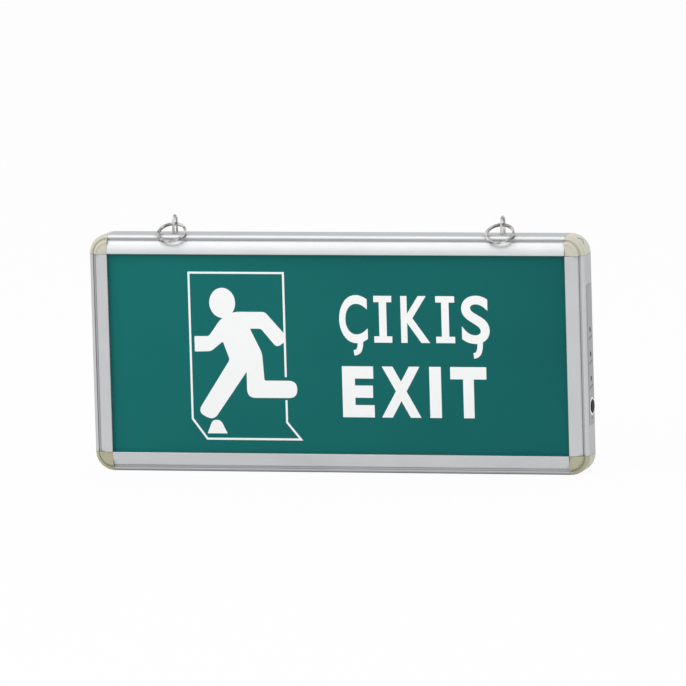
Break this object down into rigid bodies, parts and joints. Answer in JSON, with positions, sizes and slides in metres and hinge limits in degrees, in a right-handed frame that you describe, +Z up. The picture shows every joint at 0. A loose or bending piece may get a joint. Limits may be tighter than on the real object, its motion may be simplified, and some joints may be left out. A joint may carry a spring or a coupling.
{
  "type": "emergency exit light",
  "caption": "Slim hanging emergency exit light: lit running-man panel in an aluminium frame with moulded corners, split-ring hangers and a side test button.",
  "frame": {"origin": "middle of the flat underside of the frame", "axes": "+X to the right as the sign is read, +Y from the front to the back, +Z up"},
  "size_m": [0.3211, 0.0292, 0.1617],
  "materials": {
    "anodised_aluminium": "satin anodised",
    "corner_plastic": "semi-gloss moulded",
    "sign_acrylic": "smooth printed acrylic",
    "white_film": "matt film",
    "clear_acrylic": "clear polished edge",
    "circuit_board": "solder mask",
    "led_phosphor": "silicone over white case",
    "coated_steel": "matt powder coat",
    "black_rubber": "matt",
    "insulation_film": "matt film",
    "zinc_steel": "bright zinc",
    "dark_ferrite": "ferrite and tape",
    "can_aluminium": "sleeved can",
    "capacitor_plastic": "dipped",
    "fuse_glass": "clear glass tube",
    "terminal_plastic": "moulded",
    "connector_plastic": "moulded",
    "battery_sleeve": "shrink sleeve",
    "lead_insulation": "soft insulation",
    "lamp_lens": "smoked lens",
    "switch_plastic": "moulded",
    "bezel_metal": "bright ring",
    "button_plastic": "moulded",
    "label_film": "satin film",
    "nickel_wire": "bright nickel"
  },
  "bodies": {
    "housing": {"frame_top": "anodised_aluminium", "frame_bottom": "anodised_aluminium", "frame_left": "anodised_aluminium", "frame_right": "anodised_aluminium", "corner_top_left": "corner_plastic", "corner_top_right": "corner_plastic", "corner_bottom_left": "corner_plastic", "corner_bottom_right": "corner_plastic", "front_panel": "sign_acrylic", "diffuser_sheet": "white_film", "reflector_sheet": "white_film", "light_guide": "clear_acrylic", "led_strip": "circuit_board", "driver_board": "circuit_board", "indicator_board": "circuit_board", "led_chips": "led_phosphor", "back_plate": "coated_steel", "cable_grommet": "black_rubber", "insulation_sheet": "insulation_film", "board_standoffs": "zinc_steel", "board_screws": "zinc_steel", "battery_clip_left": "zinc_steel", "battery_clip_right": "zinc_steel", "transformer": "dark_ferrite", "electrolytic_capacitor": "can_aluminium", "film_capacitor": "capacitor_plastic", "fuse": "fuse_glass", "terminal_block": "terminal_plastic", "battery_connector": "connector_plastic", "indicator_connector": "connector_plastic", "led_connector": "connector_plastic", "battery_pack": "battery_sleeve", "battery_lead": "lead_insulation", "indicator_lead": "lead_insulation", "led_lead": "lead_insulation", "indicator_led_mains": "lamp_lens", "indicator_led_charge": "lamp_lens", "indicator_led_fault": "lamp_lens", "test_switch": "switch_plastic", "button_bezel": "bezel_metal", "indicator_label": "label_film", "hanger_eye_left": "nickel_wire", "hanger_eye_right": "nickel_wire"},
    "left_ring": {"split_ring_left": "nickel_wire"},
    "right_ring": {"split_ring_right": "nickel_wire"},
    "button": {"test_button": "button_plastic"}
  },
  "joints": [
    {"name": "left_ring_swing", "type": "hinge", "parent": "housing", "child": "left_ring", "pos_m": [-0.106, 0, 0.1569], "axis": [-1, 0, 0], "range_deg": [0, 248]},
    {"name": "right_ring_swing", "type": "hinge", "parent": "housing", "child": "right_ring", "pos_m": [0.106, 0, 0.1569], "axis": [-1, 0, 0], "range_deg": [0, 248]},
    {"name": "test_button_press", "type": "slide", "parent": "housing", "child": "button", "axis": [-1, 0, 0], "range_m": [0, 0.001], "stiffness_N_per_m": 300}
  ]
}
